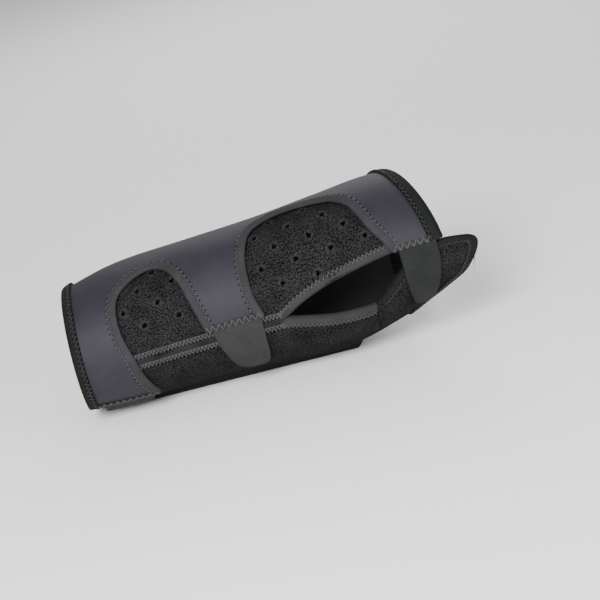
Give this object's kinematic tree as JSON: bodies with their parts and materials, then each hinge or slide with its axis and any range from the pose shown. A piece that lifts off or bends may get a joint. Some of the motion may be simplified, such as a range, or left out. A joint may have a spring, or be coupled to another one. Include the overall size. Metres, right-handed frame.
{
  "type": "wrist splint",
  "caption": "Wrap wrist splint for a left hand: loop-pile sleeve with a thumb opening, a dorsal shell with straps and hook tabs that close on the palm side, and flat stays in sewn pockets.",
  "frame": {"origin": "on the flat underside of the palmar stay pocket, straight below the arm's centre line", "axes": "+X along the arm towards the fingers, +Z towards the back of the hand, -Y towards the thumb"},
  "size_m": [0.2085, 0.088, 0.0842],
  "materials": {
    "loop_pile": "brushed loop pile",
    "lining_cloth": "fine knit",
    "seam_tape": "flat knit tape",
    "rim_binding": "ribbed folded tape",
    "edge_binding": "folded elastic tape",
    "shell_laminate": "smooth laminated cloth, soft sheen",
    "seam_thread": "overcast thread",
    "hook_tape": "moulded hooks",
    "light_tab_cloth": "heather tricot",
    "dark_tab_cloth": "heather tricot",
    "pocket_cloth": "plain weave",
    "stay_metal": "tumbled",
    "stay_plastic": "satin"
  },
  "bodies": {
    "sleeve": {"dorsal_sleeve_panel": "loop_pile", "palmar_sleeve_panel": "loop_pile", "dorsal_lining": "lining_cloth", "palmar_lining": "lining_cloth", "thumb_web_tongue": "loop_pile", "radial_seam_tape": "seam_tape", "ulnar_seam_tape": "seam_tape", "forearm_rim_binding": "rim_binding", "knuckle_rim_binding": "rim_binding", "palm_rim_binding": "rim_binding", "thumb_binding_dorsal": "edge_binding", "thumb_binding_palmar": "edge_binding", "tongue_binding": "edge_binding", "dorsal_shell": "shell_laminate", "forearm_bay_binding": "edge_binding", "hand_bay_binding": "edge_binding", "palmar_stay_pocket": "pocket_cloth", "dorsal_stay_pocket": "pocket_cloth", "dorsal_stay": "stay_plastic"},
    "palmar_stay": {"palmar_stay": "stay_metal"},
    "forearm_strap": {"forearm_strap": "shell_laminate", "forearm_strap_binding": "edge_binding", "forearm_end_seam": "seam_thread"},
    "forearm_tab": {"forearm_tab": "dark_tab_cloth", "forearm_hook_patch": "hook_tape"},
    "wrist_strap": {"wrist_strap": "shell_laminate", "wrist_strap_binding": "edge_binding", "wrist_end_seam": "seam_thread"},
    "wrist_tab": {"wrist_tab": "light_tab_cloth", "wrist_hook_patch": "hook_tape"},
    "hand_strap": {"hand_strap": "shell_laminate", "hand_strap_binding": "edge_binding", "hand_end_seam": "seam_thread"},
    "hand_tab": {"hand_tab": "dark_tab_cloth", "hand_hook_patch": "hook_tape"}
  },
  "joints": [
    {"name": "forearm_strap_lift", "type": "hinge", "parent": "sleeve", "child": "forearm_strap", "pos_m": [-0.074, -0.01821, 0.06219], "axis": [-0.9776, 0.0436, -0.206], "range_deg": [0, 100]},
    {"name": "forearm_tab_peel", "type": "hinge", "parent": "forearm_strap", "child": "forearm_tab", "pos_m": [-0.067, -0.02482, 0.00986], "axis": [-0.9984, 0.0559, -0.01], "range_deg": [0, 70]},
    {"name": "wrist_strap_lift", "type": "hinge", "parent": "sleeve", "child": "wrist_strap", "pos_m": [-0.0225, -0.01935, 0.06987], "axis": [-0.9978, -0.0069, -0.0656], "range_deg": [0, 100]},
    {"name": "wrist_tab_peel", "type": "hinge", "parent": "wrist_strap", "child": "wrist_tab", "pos_m": [-0.005, -0.03834, 0.03802], "axis": [-0.9995, -0.0193, -0.024], "range_deg": [0, 70]},
    {"name": "hand_strap_lift", "type": "hinge", "parent": "sleeve", "child": "hand_strap", "pos_m": [0.0705, -0.0137, 0.08283], "axis": [-0.9999, 0.0156, -0.0033], "range_deg": [0, 100]},
    {"name": "hand_tab_peel", "type": "hinge", "parent": "hand_strap", "child": "hand_tab", "pos_m": [0.092, -0.04315, 0.05682], "axis": [-0.9986, -0.0117, -0.0517], "range_deg": [0, 70]},
    {"name": "palmar_stay_slide", "type": "slide", "parent": "sleeve", "child": "palmar_stay", "axis": [-1, 0, 0], "range_m": [0, 0.13]}
  ]
}
